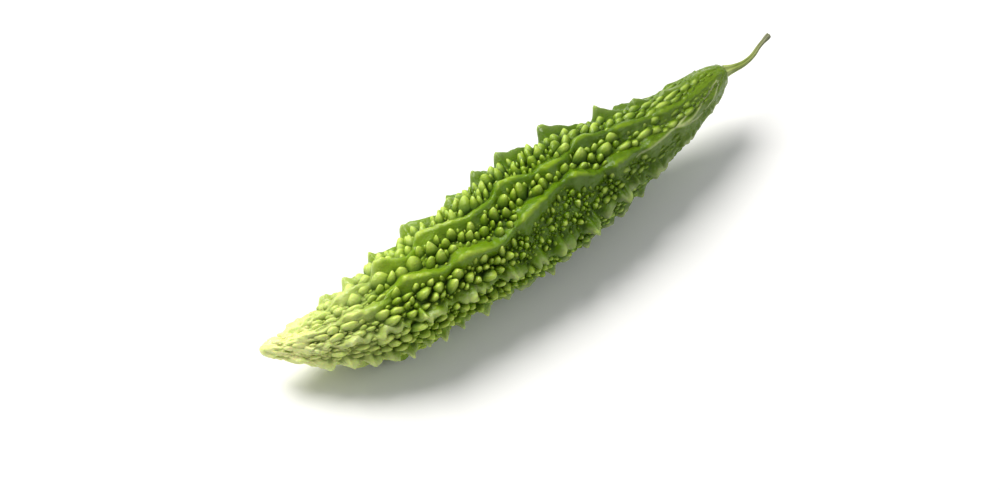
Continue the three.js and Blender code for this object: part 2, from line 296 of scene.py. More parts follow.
# Looks of the skin: scales of its noises, the values at which each mask is none and full, and how
# much of a mask is used
PATCH_SCALE = 28.0
PATCH_DRIFT = 0.22
# Masks for the lighter crests and peg tops, partly their own paler green and partly painted light
CREST_MASK = (0.84, 1.04)
BUMP_MASK = (0.05, 0.8)
# Where painted shade darkens the hollows, and where along the fruit it fades in
HOLLOW_MASK = (0.1, 0.85)
HOLLOW_ALONG = (-0.2, 0.3)
# Pale peg tops, partly their own pale tips and partly a painted highlight
PALE_MASK = (0.35, 0.95)
PALE_SHARE = 0.7
MOTTLE_SCALE = 240.0
MOTTLE_MASK = (0.48, 0.7)
MOTTLE_SHARE = 0.5
CREASE_STRETCH = (0.4, 1.0, 1.0)
CREASE_SCALE = 520.0
CREASE_ROUGHNESS = 0.6
CREASE_STRENGTH = 0.6
CREASE_DEPTH = 0.0007
GRAIN_SCALE = 1500.0
GRAIN_STRENGTH = 0.8
GRAIN_DEPTH = 0.0003
DULL_MASK = (0.1, 0.6)
SKIN_ROUGHNESS = 0.2
HOLLOW_ROUGHNESS = 0.5
SKIN_SPECULAR = 0.32
SUBSURFACE_SHARE = 0.45
SUBSURFACE_RADIUS = (0.6, 1.0, 0.2)
SUBSURFACE_SCALE = 0.0015

# Looks of the stalk, in the same terms
# Painted shade in the grooves between the stalk's ribs
GROOVE_MASK = (0.6, 0.0)
GROOVE_SHARE = 0.75
STREAK_STRETCH = (0.25, 1.0, 1.0)
STREAK_SCALE = 1400.0
STREAK_MASK = (0.45, 0.75)
STREAK_SHARE = 0.6
STREAK_STRENGTH = 0.5
STREAK_DEPTH = 0.0002
STALK_ROUGHNESS = 0.55

# Floor
FLOOR_SIZE = 3
FLOOR_COLOUR = (0.9, 0.9, 0.9, 1)
FLOOR_ROUGHNESS = 0.8
FLOOR_SPECULAR = 0.1

# Camera
AIM = Vector((-0.01906384, -0.00091698, 0.01374401))
AZIMUTH = -35.4
ELEVATION = 55
DISTANCE = 0.869475
LENS = 85
SENSOR_WIDTH = 36

# Lights: how far each stands up, right and back as seen by the camera, and its distance and colour
Light = namedtuple("Light", "name up right back distance colour")
LIGHTS = [
    Light("main light", 1.0, -0.6, 0.65, 0.9, (1, 0.98, 0.94)),
    Light("fill light", 0.3, 1.0, 0.8, 1.1, (0.94, 0.97, 1)),
]
LIGHT_SIZE = 0.6


# Shape of the skin

def through(stations, places):
    """A smooth curve through stations, at every place given."""
    at, value = (np.array(column, dtype=float) for column in zip(*stations))
    places = np.clip(places, at[0], at[-1])
    if len(at) == 1:
        return np.full_like(np.asarray(places, dtype=float), value[0])
    run = np.diff(at)
    chord = np.diff(value) / run
    slope = np.concatenate(([chord[0]], (chord[:-1] + chord[1:]) / 2, [chord[-1]]))
    i = np.clip(np.searchsorted(at, places, side="left") - 1, 0, len(run) - 1)
    t = (places - at[i]) / run[i]
    u = 1 - t
    ends = value[i] * u * u * (1 + 2 * t) + value[i + 1] * t * t * (1 + 2 * u)
    return ends + run[i] * t * u * (slope[i] * u - slope[i + 1] * t)


def base_radius(s):
    """The base's radius, closed by a dome at each end."""
    s = np.asarray(s, dtype=float)
    tip_dome, tip_radius = BASE_RADIUS[0]
    end_dome, end_radius = BASE_RADIUS[-1]
    tip = tip_radius * np.sqrt(np.clip(s, 0, None) / tip_dome)
    end = end_radius * np.sqrt(np.clip(FRUIT_LENGTH - s, 0, None) / (FRUIT_LENGTH - end_dome))
    return np.where(s < tip_dome, tip, np.where(s > end_dome, end, through(BASE_RADIUS, s)))


def smooth(x):
    """0 up to 0, 1 from 1, and a smooth step between."""
    t = np.clip(x, 0, 1)
    return t * t * (3 - 2 * t)


def turn_between(a, b):
    """The turn from b to a by the shorter way."""
    return (a - b + math.pi) % TURN - math.pi


def make_draws(seed):
    """Draws between 0 and 1 from a seed, the same on every machine."""
    state = seed
    while True:
        state = state * 16807 % 2147483647
        yield state / 2147483647


def ridge_angle(ridge, s):
    return (ridge.angle + through(TWIST, s) + through(ridge.sway, s)) * DEGREE


def tooth_line(ridge, s):
    """1 at each tooth, 0 in each notch, steep toward the blossom tip."""
    teeth = np.array(ridge.teeth, dtype=float)
    i = np.searchsorted(teeth, s, side="left")
    start = np.where(i > 0, teeth[np.maximum(i - 1, 0)], 0)
    end = np.where(i < len(teeth), teeth[np.minimum(i, len(teeth) - 1)], FRUIT_LENGTH)
    notch = end - np.minimum(TOOTH_FACE, TOOTH_FACE_SHARE * (end - start))
    face = smooth((s - notch) / (end - notch))
    back = 1 - np.clip((s - start) / (notch - start), 0, 1) ** ridge.back
    return np.where(s > notch, face, back)


def ridge_width(s):
    return RIDGE_HALF_WIDTH * np.maximum(through(BUMP_SIZE, s), LEAST_RIDGE_SIZE)


def waver(s, draw):
    """A value that wanders between -1 and 1 along the fruit."""
    steps = np.arange(0, FRUIT_LENGTH + RIPPLE_STEP, RIPPLE_STEP)
    return through([(step, 2 * next(draw) - 1) for step in steps], s)[:, None]


def ridge_rise(s, angle):
    """How far the ridges stand over the base, how near each place is to a crest, and how pale a tooth's
    rim is there, on a grid of places along by angles round. The crest value makes crests lighter, partly
    their own paler green and partly painted light; the rim value makes rims pale, partly their own
    paleness and partly painted light through the thin fins."""
    radius = base_radius(s)[:, None]
    width = ridge_width(s)[:, None]
    rise = np.zeros((len(s), len(angle)))
    crest = np.zeros_like(rise)
    rim = np.zeros_like(rise)
    draw = make_draws(RIPPLE_SEED)
    for ridge in RIDGES:
        ripple = ridge.ragged * waver(s, draw)
        ruffle = ridge.ragged * waver(s, draw)
        across = turn_between(angle[None, :], ridge_angle(ridge, s)[:, None]) * radius
        across = np.hypot(across + RUFFLE * ruffle, CREST_ROUND) - CREST_ROUND
        tooth = tooth_line(ridge, s)[:, None]
        notch = through(ridge.notch, s)[:, None]
        level = (notch + (1 - notch) * tooth) * (1 + ripple)
        half = width * ridge.thickness * (NOTCH_WIDTH + (1 - NOTCH_WIDTH) * tooth)
        fall = np.exp(-((across / half) ** RIDGE_ROUNDNESS))
        lift = (through(RIDGE_HEIGHT, s) * through(ridge.lift, s))[:, None]
        rise = np.maximum(rise, lift * level * fall)
        crest = np.maximum(crest, (CREST_LIGHT + TOOTH_LIGHT * level) * fall)
        rim = np.maximum(rim, ridge.rim * tooth * smooth((fall - RIM_START) / RIM_BLEND))
    return rise, crest, rim


Bump = namedtuple("Bump", "at turn reach stretch height")


def place_bumps():
    """Draws bumps all over the valleys, large ones first, each clear of those before it."""
    draw = make_draws(BUMP_SEED)
    order = sorted(RIDGES, key=lambda ridge: ridge.angle)
    bumps = []
    cells = {}
    for kind_radius, kind_height, tries in BUMP_KINDS:
        draws = np.array([[next(draw) for _ in range(5)] for _ in range(tries)])
        valley = (draws[:, 0] * len(order)).astype(int)
        s = BUMP_START + (BUMP_END - BUMP_START) * draws[:, 1]
        grains = np.array([through(ridge.bumps, s) for ridge in order])
        grain = np.take_along_axis(grains, valley[None, :], axis=0)[0]
        size = through(BUMP_SIZE, s) * grain * (1 + BUMP_SPREAD * (2 * draws[:, 3] - 1))
        radius = base_radius(s)
        lines = np.array([ridge_angle(ridge, s) for ridge in order])
        lower = np.take_along_axis(lines, valley[None, :], axis=0)[0]
        upper = np.take_along_axis(lines, (valley[None, :] + 1) % len(order), axis=0)[0]
        width = (upper - lower) % TURN
        teeth = NOTCH_FOOT + (1 - NOTCH_FOOT) * np.array([tooth_line(ridge, s) for ridge in order])
        lower_tooth = np.take_along_axis(teeth, valley[None, :], axis=0)[0]
        upper_tooth = np.take_along_axis(teeth, (valley[None, :] + 1) % len(order), axis=0)[0]
        foot = (RIDGE_FOOT * lower_tooth + BUMP_FOOT * kind_radius) * size / radius
        upper_foot = (RIDGE_FOOT * upper_tooth + BUMP_FOOT * kind_radius) * size / radius
        angle = lower + foot + (width - foot - upper_foot) * draws[:, 2]
        reach = kind_radius * size
        stretch = through(BUMP_STRETCH, s) * (1 + STRETCH_SPREAD * (2 * draws[:, 4] - 1))
        height = kind_height * size * grain * through(BUMP_RISE, s)
        for n in np.nonzero(width >= VALLEY_ROOM * (foot + upper_foot))[0]:
            cell = int(s[n] / BUMP_CELL)
            near = [bump for c in (cell - 1, cell, cell + 1) for bump in cells.get(c, ())]
            if any(
                math.hypot((bump.at - s[n]) / stretch[n], turn_between(bump.turn, angle[n]) * radius[n])
                < BUMP_PACKING * (bump.reach + reach[n])
                for bump in near
            ):
                continue
            bump = Bump(s[n], angle[n], reach[n], stretch[n], height[n])
            bumps.append(bump)
            cells.setdefault(cell, []).append(bump)
    return bumps


def bump_rise(s, angle, bumps):
    """How far the bumps stand over the base, on a grid of places along by angles round."""
    rise = np.zeros((len(s), len(angle)))
    for at, turn, reach, stretch, height in bumps:
        first, last = np.searchsorted(s, (at - reach * stretch, at + reach * stretch))
        rows = s[first:last]
        if not len(rows):
            continue
        across = turn_between(angle[None, :], turn) * base_radius(rows)[:, None]
        share = np.clip(np.hypot((rows[:, None] - at) / stretch, across) / reach, 0, 1)
        swell = np.cos(share * math.pi / 2) ** BUMP_ROUNDNESS
        swell[share >= 1] = 0
        rise[first:last] = np.maximum(rise[first:last], height * swell)
    return rise


def rings_along(count):
    """Places along the fruit for the rings of a ball, close together at both ends."""
    t = np.arange(1, count) / count
    ends = END_RINGS / count
    full = FRUIT_LENGTH / (1 - ends)
    near = np.where(t < ends, t * t / (2 * ends), t - ends / 2)
    back = 1 - t
    far = np.where(back < ends, back * back / (2 * ends), back - ends / 2)
    return np.where(t < 0.5, full * near, FRUIT_LENGTH - full * far)


def noise_at(kind, at, y, z):
    start, lengthwise, crosswise = kind
    return noise.noise(Vector((at * lengthwise + start, y * crosswise, z * crosswise)))


def wrinkles(s, angle):
    """Lengthwise creases, deep near the blossom tip and faint on the rest, over soft lumps."""
    out = np.zeros((len(s), len(angle)))
    ends = smooth(s / TIP_FADE) * smooth((FRUIT_LENGTH - s) / END_FADE)
    near_tip = 1 - smooth((s - WRINKLE_FADE_START) / WRINKLE_FADE_LENGTH)
    depth = WRINKLE_DEPTH * (WRINKLE_SHARE + TIP_WRINKLE_SHARE * near_tip) * ends
    soft = ends * (1 - LUMP_LOSS * smooth((s - LUMP_FADE_START) / LUMP_FADE_LENGTH))
    for row, at in enumerate(s):
        radius = float(base_radius(at))
        for column, turn in enumerate(angle):
            y = radius * math.sin(turn)
            z = radius * math.cos(turn)
            crease = 1 - 2 * abs(noise_at(CREASE_NOISE, at, y, z))
            fold = noise_at(FOLD_NOISE, at, y, z)
            lump = noise_at(LUMP_NOISE, at, y, z)
            creases = depth[row] * (crease - CREASE_SINK + FOLD_SHARE * fold)
            out[row, column] = creases + LUMP_HEIGHT * soft[row] * lump
    return out


def depth_among(s, full, low):
    """How deep each place lies among what stands round it, and how high that stands, from 0 to 1. The
    depth darkens the hollows as painted shade and dulls them; how high the surroundings stand sets the
    painted shade at the feet of crowded pegs.
    """
    scale = (CAVITY_DEPTH * through(CAVITY_SCALE, s))[:, None]
    around = full
    for axis, reach in ((0, CAVITY_ROWS), (1, CAVITY_COLUMNS)):
        turned = [np.roll(around, step, axis=axis) for step in range(-reach, reach + 1)]
        around = sum(turned) / len(turned)
    return np.clip((around - low) / scale, 0, 1), np.clip(around / CAVITY_DEPTH, 0, 1)


def scar_share(s, angle):
    """1 on a scar, 0 away from it."""
    share = np.zeros((len(s), len(angle)))
    radius = base_radius(s)[:, None]
    for scar in SCARS:
        across = np.abs(turn_between(angle[None, :], through(scar, s)[:, None] * DEGREE)) * radius
        slope = np.gradient(through(scar, s) * DEGREE, s)[:, None] * radius
        near = np.exp(-((across / np.hypot(1, slope) / SCAR_RADIUS) ** 2))
        near[(s < scar[0][0]) | (s > scar[-1][0])] = 0
        share = np.maximum(share, near)
    return share


def skin_place(s, angle, rise):
    """Points of the skin, in metres, at places along, angles round and heights over the base."""
    s, angle, rise = np.broadcast_arrays(s, angle, rise)
    radius = base_radius(s) + rise
    return np.stack((
        TIP_X + s,
        SIDE_SHIFT + through(MIDLINE_SIDE, s) + radius * np.sin(angle),
        np.maximum(through(MIDLINE_HEIGHT, s) + radius * np.cos(angle), 0),
    ), axis=-1) * MM


# Balls and pegs

def new_ball(segments, rings):
    bm = bmesh.new()
    bmesh.ops.create_uvsphere(bm, u_segments=segments, v_segments=rings, radius=1)
    return bm


def ball_place(vert, rings):
    """A ball's ring that a corner is on, counted from the top, and the corner's turn round it."""
    ring = round(math.acos(max(-1, min(1, vert.co.z))) / math.pi * rings)
    return ring, math.atan2(vert.co.y, vert.co.x)


def copy_shape(bm, count):
    """Repeats a bmesh's one shape until there are count of them. Every corner is marked with
    its number in the shape and its copy's number."""
    corner = bm.verts.layers.int.new("corner")
    copy = bm.verts.layers.int.new("copy")
    for n, vert in enumerate(bm.verts):
        vert[corner] = n
    made = 1
    while made < count:
        more = min(made, count - made)
        verts = [vert for vert in bm.verts if vert[copy] < more]
        faces = [face for face in bm.faces if face.verts[0][copy] < more]
        edges = [edge for edge in bm.edges if edge.verts[0][copy] < more]
        new = bmesh.ops.duplicate(bm, geom=verts + edges + faces)["geom"]
        for part in new:
            if isinstance(part, bmesh.types.BMVert):
                part[copy] += made
        made += more
    return corner, copy


def peg_points(shape, bumps, crowding):
    """Every peg's points and their relief, from the corners of a ball. A peg is a lopsided egg sunk
    a little into the skin, widest low down, with soft lobes round it and a round, leaning top."""
    at, turn, reach, stretch, height = (np.array(column)[:, None] for column in zip(*bumps))
    draw = make_draws(PEG_SEED)
    draws = np.array([[next(draw) for _ in range(5)] for _ in bumps])[:, None, :] - 0.5
    tone, lean_along, lean_across, two_lobes, three_lobes = np.moveaxis(draws, -1, 0)

    up = shape[None, :, 2]
    round_it = np.sqrt(np.maximum(1 - up * up, 0))
    pointed = PEG_POINT + PEG_POINT_SPREAD * tone
    swell = np.where(up > 0, round_it * (1 - pointed * up), np.sqrt(round_it))
    way = np.arctan2(shape[None, :, 1], shape[None, :, 0])
    swell = swell * (1 + PEG_LOBES[0] * np.cos(2 * way + TURN * two_lobes)
                     + PEG_LOBES[1] * np.cos(3 * way + TURN * three_lobes))
    over = np.maximum(round_it, TINY)
    upper = height * (PEG_WAIST + (1 - PEG_WAIST) * up)
    lower = height * PEG_WAIST + (height * PEG_WAIST + PEG_SINK) * up
    rise = np.where(up > 0, upper, lower)
    raised = np.clip(up, 0, 1) * height
    along = shape[None, :, 0] / over * swell * reach * PEG_WIDTH * stretch
    along = along + (PEG_LEAN[0] + PEG_LEAN_SPREAD * lean_along) * raised
    across = shape[None, :, 1] / over * swell * reach * PEG_WIDTH
    across = across + (PEG_LEAN[1] + PEG_LEAN_SPREAD * lean_across) * raised
    s = np.clip(at + along, END_MARGIN, FRUIT_LENGTH - END_MARGIN)
    middle = base_radius(at)
    angle = turn + across / (middle + rise)
    points = skin_place(s, angle, rise + middle - base_radius(s))

    # Painted shade at the foot of a crowded peg, and a lighter top that is partly its own pale tip and
    # partly a painted highlight
    low_down = np.clip(1 - rise / np.maximum(height, LEAST_SHADED_HEIGHT), 0, 1)
    shade = np.array(crowding)[:, None] * low_down
    paleness = np.clip(reach / PALE_REACH, SMALL_PEG_PALENESS, 1)
    lit = np.clip(up, 0, 1) * paleness * (PEG_TONE + PEG_TONE_SPREAD * tone)
    return points, np.stack(np.broadcast_arrays(0.0, lit, shade, 1.0), axis=-1)


def peg_bmesh(bumps, crowding, segments, rings):
    """A peg for each bump, and the relief of each corner."""
    bm = new_ball(segments, rings)
    shape = np.array([vert.co[:] for vert in bm.verts])
    corner, copy = copy_shape(bm, len(bumps))
    points, relief = peg_points(shape, bumps, crowding)
    shades = []
    for vert in bm.verts:
        place = (vert[copy], vert[corner])
        vert.co = points[place]
        shades.append(relief[place])
    for name in ("corner", "copy"):
        bm.verts.layers.int.remove(bm.verts.layers.int[name])
    return bm, shades


# Materials

def linear(red, green, blue):
    """Linear colour from 0 to 255 screen values."""
    def part(value):
        value /= 255
        return value / 12.92 if value <= 0.04045 else ((value + 0.055) / 1.055) ** 2.4
    return tuple(part(value) for value in (red, green, blue))


class Graph:
    """A new material with its nodes and links."""

    def __init__(self, name):
        self.material = bpy.data.materials.new(name)
        self.material.use_nodes = True
        self.nodes = self.material.node_tree.nodes
        self.links = self.material.node_tree.links
        self.shader = next(node for node in self.nodes if node.type == "BSDF_PRINCIPLED")

    def put(self, socket, value):
        """Links another socket to this one, or gives it a plain value."""
        if isinstance(value, bpy.types.NodeSocket):
            self.links.new(value, socket)
        else:
            socket.default_value = value

    def finish(self, **values):
        """Sets the shader's inputs, each named with _ for its spaces, and gives the material."""
        for key, value in values.items():
            self.put(self.shader.inputs[key.replace("_", " ")], value)
        return self.material

    def place(self):
        return self.nodes.new("ShaderNodeTexCoord").outputs["Object"]

    def along(self, place):
        apart = self.nodes.new("ShaderNodeSeparateXYZ")
        self.put(apart.inputs[0], place)
        return apart.outputs[0]

    def relief(self):
        """The four parts of the relief that add_relief writes."""
        marks = self.nodes.new("ShaderNodeAttribute")
        marks.attribute_name = "relief"
        parts = self.nodes.new("ShaderNodeSeparateColor")
        self.put(parts.inputs[0], marks.outputs["Color"])
        return (*parts.outputs, marks.outputs["Alpha"])

    def ramp(self, value, places, colours):
        node = self.nodes.new("ShaderNodeValToRGB")
        elements = node.color_ramp.elements
        while len(elements) < len(places):
            elements.new(0.5)
        for element, place, colour in zip(elements, places, colours):
            element.position = place
            element.color = (*colour, 1)
        self.put(node.inputs[0], value)
        return node.outputs[0]

    def mix(self, share, one, two, blend="MIX"):
        node = self.nodes.new("ShaderNodeMix")
        node.data_type = "RGBA"
        node.blend_type = blend
        self.put(node.inputs[0], share)
        for socket, value in ((node.inputs[6], one), (node.inputs[7], two)):
            self.put(socket, value if isinstance(value, bpy.types.NodeSocket) else (*value, 1))
        return node.outputs[2]

    def maths(self, operation, *values):
        node = self.nodes.new("ShaderNodeMath")
        node.operation = operation
        for socket, value in zip(node.inputs, values):
            self.put(socket, value)
        return node.outputs[0]

    def spread(self, value, none, full):
        """0 at none, 1 at full, smooth between and level beyond."""
        node = self.nodes.new("ShaderNodeMapRange")
        node.interpolation_type = "SMOOTHSTEP"
        for socket, given in zip(node.inputs, (value, none, full)):
            self.put(socket, given)
        return node.outputs[0]

    def stretch(self, place, scale):
        node = self.nodes.new("ShaderNodeMapping")
        self.put(node.inputs["Vector"], place)
        self.put(node.inputs["Scale"], scale)
        return node.outputs[0]

    def noise(self, place, scale, detail, roughness=0.5):
        node = self.nodes.new("ShaderNodeTexNoise")
        given = {"Vector": place, "Scale": scale, "Detail": detail, "Roughness": roughness}
        for key, value in given.items():
            self.put(node.inputs[key], value)
        return node.outputs[0]

    def bump(self, height, strength, distance, normal=None):
        node = self.nodes.new("ShaderNodeBump")
        for key, value in (("Height", height), ("Strength", strength), ("Distance", distance)):
            self.put(node.inputs[key], value)
        if normal is not None:
            self.put(node.inputs["Normal"], normal)
        return node.outputs[0]


def skin_material(settings):
    """Skin pale at the tip, lighter on crests and bumps, partly their own paler green and partly painted
    light, and darker in the hollows between them and at the feet of crowded pegs as painted shade.
    """
    graph = Graph("gourd skin")
    place = graph.place()
    crest, bump, depth, plain = graph.relief()
    along = graph.maths("SUBTRACT", graph.along(place), TIP_X * MM)
    along = graph.maths("DIVIDE", along, FRUIT_LENGTH * MM)
    patches = graph.maths("SUBTRACT", graph.noise(place, PATCH_SCALE, 3.0), 0.5)
    ripeness = graph.maths("ADD", along, graph.maths("MULTIPLY", patches, PATCH_DRIFT))

    flank = graph.ramp(ripeness, SKIN_STATIONS, (
        settings.tip_colour, settings.neck_flank, settings.middle_flank, settings.body_flank,
        settings.shoulder_colour))
    top = graph.ramp(ripeness, SKIN_STATIONS, (
        settings.tip_colour, settings.neck_crest, settings.middle_crest, settings.body_crest,
        settings.shoulder_colour))
    # Crests and peg tops lighter: partly their own paler green, partly painted light
    lit = graph.maths("MAXIMUM", graph.spread(crest, *CREST_MASK), graph.spread(bump, *BUMP_MASK))
    colour = graph.mix(lit, flank, top)
    # Painted shade: the hollows between the bumps and the feet of crowded pegs are darkened
    hollow = graph.maths("MULTIPLY", graph.spread(depth, *HOLLOW_MASK), graph.spread(along, *HOLLOW_ALONG))
    colour = graph.mix(hollow, colour, settings.valley_shade, "MULTIPLY")
    # Peg tops paler: partly their own pale tips, partly a painted highlight
    pale = graph.maths("MULTIPLY", graph.spread(bump, *PALE_MASK), PALE_SHARE)
    colour = graph.mix(pale, colour, settings.bump_top_and_highlight)
    mottle = graph.spread(graph.noise(place, MOTTLE_SCALE, 3.0), *MOTTLE_MASK)
    blotch = graph.maths("MULTIPLY", mottle, MOTTLE_SHARE)
    colour = graph.mix(blotch, colour, settings.blotch_tint, "MULTIPLY")
    # Scars in their own pale colour, and pale tooth rims, partly their own and partly painted light
    # through the thin fins
    colour = graph.mix(plain, settings.scar_and_rim_light, colour)

    # Creases of about a millimetre run along the fruit, over a finer grain
    creases = graph.noise(graph.stretch(place, CREASE_STRETCH), CREASE_SCALE, 4.0, CREASE_ROUGHNESS)
    folds = graph.bump(creases, CREASE_STRENGTH, CREASE_DEPTH)
    grain = graph.bump(graph.noise(place, GRAIN_SCALE, 3.0), GRAIN_STRENGTH, GRAIN_DEPTH, folds)
    dull = graph.maths("MULTIPLY_ADD", graph.spread(depth, *DULL_MASK), HOLLOW_ROUGHNESS, SKIN_ROUGHNESS)
    return graph.finish(
        Base_Color=colour, Normal=grain, Roughness=dull, Specular_IOR_Level=SKIN_SPECULAR,
        Subsurface_Weight=SUBSURFACE_SHARE, Subsurface_Radius=SUBSURFACE_RADIUS,
        Subsurface_Scale=SUBSURFACE_SCALE)


def stalk_material(settings):
    """Grooved skin, pale and green at the fruit, browner and greyer toward the cut, with painted shade in
    the grooves and its own darker streaks.
    """
    graph = Graph("stalk skin")
    place = graph.place()
    along, rib, cut, _ = graph.relief()
    colour = graph.ramp(along, STALK_STATIONS, (
        settings.collar_colour, settings.green_colour, settings.stalk_colour, settings.dry_colour))
    # Painted shade in the grooves between the ribs
    shaded_groove = graph.maths("MULTIPLY", graph.spread(rib, *GROOVE_MASK), GROOVE_SHARE)
    colour = graph.mix(shaded_groove, colour, settings.groove_shade_and_streak_tint, "MULTIPLY")
    # The stalk's own darker streaks, in the same tint as the painted groove shade
    streaks = graph.noise(graph.stretch(place, STREAK_STRETCH), STREAK_SCALE, 3.0)
    dark = graph.maths("MULTIPLY", graph.spread(streaks, *STREAK_MASK), STREAK_SHARE)
    colour = graph.mix(dark, colour, settings.groove_shade_and_streak_tint, "MULTIPLY")
    colour = graph.mix(cut, colour, settings.cut_colour)
    bump = graph.bump(streaks, STREAK_STRENGTH, STREAK_DEPTH)
    return graph.finish(Base_Color=colour, Normal=bump, Roughness=STALK_ROUGHNESS)


# Pieces

def new_object(bm, name):
    bmesh.ops.recalc_face_normals(bm, faces=bm.faces)
    mesh = bpy.data.meshes.new(name)
    bm.to_mesh(mesh)
    bm.free()
    piece = bpy.data.objects.new(name, mesh)
    bpy.context.scene.collection.objects.link(piece)
    return piece


def finish_piece(piece, node, material):
    """Gives a piece its finish. It rides on the frame and stands for a node."""
    piece.data.polygons.foreach_set("use_smooth", [True] * len(piece.data.polygons))
    piece.data.materials.clear()
    piece.data.materials.append(material)
    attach(piece, "root")
    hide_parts(node)


def add_relief(piece, shades):
    """Writes four numbers at each corner. On the fruit: how near a crest, how near a bump's top, how deep
    in a hollow, and 1 less how pale a scar or rim is. On the pegs: 0, how lit a peg's top is, how shaded
    its foot is, and 1. The skin material makes crests and peg tops lighter from these, partly as painted
    light, and paints shade from the hollow and peg-foot numbers. On the stalk: how far along, how near a
    rib's top, 1 on the cut, and 1."""
    attribute = piece.data.attributes.new("relief", "FLOAT_COLOR", "POINT")
    attribute.data.foreach_set("color", np.array(shades, dtype=np.float32).ravel())


def colour_setting(name, description, default):
    return FloatVectorProperty(name=name, description=description, subtype="COLOR", default=default)


class FruitSettings(bpy.types.PropertyGroup):
    rings: IntProperty(
        name="Rings", description="Rings of the skin from tip to stalk", default=384, min=64)
    segments: IntProperty(
        name="Segments", description="Segments of the skin round the fruit", default=256, min=64)
    tip_colour: colour_setting("Tip", "Skin at the blossom tip", linear(242, 248, 164))
    neck_flank: colour_setting("Neck", "Flanks a little behind the tip", linear(128, 158, 30))
    middle_flank: colour_setting("Middle", "Flanks before the middle", linear(92, 126, 6))
    body_flank: colour_setting("Body", "Flanks from the middle to the shoulder", linear(80, 111, 2))
    # Crest colours, lighter than the flanks: partly the crests' own paler green, partly painted light
    neck_crest: colour_setting("Neck crests", "Crests a little behind the tip", linear(188, 208, 84))
    middle_crest: colour_setting("Middle crests", "Crests before the middle", linear(148, 176, 32))
    body_crest: colour_setting(
        "Body crests", "Crests from the middle to the shoulder", linear(130, 160, 22))
    shoulder_colour: colour_setting("Shoulder", "Skin round the stalk", linear(102, 130, 20))
    # Painted shade for the hollows between the bumps and the feet of crowded pegs
    valley_shade: colour_setting("Valley tint", "Darkens the skin between the bumps", (0.26, 0.36, 0.14))
    blotch_tint: colour_setting("Blotch tint", "Darkens small blotches of the skin", (0.7, 0.78, 0.55))
    # Peg tops: partly their own pale tips, partly a painted highlight
    bump_top_and_highlight: colour_setting("Bump top", "Skin on the tops of the bumps", linear(204, 224, 112))
    # Scars, and the pale tooth rims, which are partly painted light through the thin fins
    scar_and_rim_light: colour_setting("Scars", "Thin scars near the stalk", linear(206, 212, 158))


class StalkSettings(bpy.types.PropertyGroup):
    collar_colour: colour_setting("Collar", "Foot of the stalk, at the fruit", linear(176, 190, 112))
    green_colour: colour_setting("Green part", "Stalk a little beyond the collar", linear(134, 152, 62))
    stalk_colour: colour_setting("Stalk", "Middle of the stalk", linear(142, 152, 84))
    dry_colour: colour_setting("Dry part", "Stalk before the cut", linear(128, 130, 100))
    cut_colour: colour_setting("Cut", "Cut face of the stalk", linear(150, 148, 122))
    # Painted shade in the stalk's grooves, and its own darker streaks
    groove_shade_and_streak_tint: colour_setting("Groove tint", "Darkens the grooves of the stalk", (0.45, 0.5, 0.3))


class StageSettings(bpy.types.PropertyGroup):
    key_power: FloatProperty(
        name="Main light", description="Power of the main light", default=11.2, unit="POWER")
    fill_power: FloatProperty(
        name="Fill light", description="Power of the fill light", default=1.9, unit="POWER")
    world_strength: FloatProperty(
        name="Sky", description="Strength of the even light from all sides", default=0.33)


class GOURD_OT_fruit(bpy.types.Operator):
    """Build the ridged fruit with its bumps"""
    bl_idname = "gourd.fruit"
    bl_label = "Fruit"

    def execute(self, context):
        settings = context.scene.gourd_fruit
        rings = settings.rings
        segments = settings.segments
        s = rings_along(rings)
        angle = np.arange(segments) * TURN / segments
        bumps = place_bumps()
        swells = bump_rise(s, angle, bumps)
        ridges, crest, rim = ridge_rise(s, angle)
        scar = scar_share(s, angle)
        folds = wrinkles(s, angle)
        rise = np.maximum(ridges, MOUND_SHARE * swells) + folds + SCAR_HEIGHT * scar
        depth, crowd = depth_among(s, np.maximum(ridges, swells) + folds, rise)
        skin = skin_place(s[:, None], angle[None, :], rise)
        ends = skin_place(np.array((0, FRUIT_LENGTH)), np.zeros(2), np.zeros(2))

        bm = new_ball(segments, rings)
        shades = []
        for vert in bm.verts:
            ring, turn = ball_place(vert, rings)
            column = round(turn / TURN * segments) % segments
            vert.co = skin[ring - 1, column] if 0 < ring < rings else ends[min(ring, 1)]
            place = (min(max(ring, 1), rings - 1) - 1, column)
            # Pale scars, and pale tooth rims, partly painted light through the thin fins
            paleness = max(SCAR_PALENESS * scar[place], rim[place])
            shades.append((crest[place], 0, depth[place], 1 - paleness))
        fruit = new_object(bm, "gourd_fruit")
        material = skin_material(settings)
        add_relief(fruit, shades)
        finish_piece(fruit, "fruit", material)

        for name, least, most, peg_segments, peg_rings in PEG_SHARE:
            chosen = [bump for bump in bumps if least <= bump.reach < most]
            # How crowded each peg stands, for the painted shade at its foot
            crowding = []
            for bump in chosen:
                row = np.searchsorted(s, bump.at) - 1
                column = round(bump.turn / TURN * segments) % segments
                crowding.append(crowd[row, column])
            bm, shades = peg_bmesh(chosen, crowding, peg_segments, peg_rings)
            pegs = new_object(bm, name)
            add_relief(pegs, shades)
            finish_piece(pegs, "fruit", material)
        return {"FINISHED"}


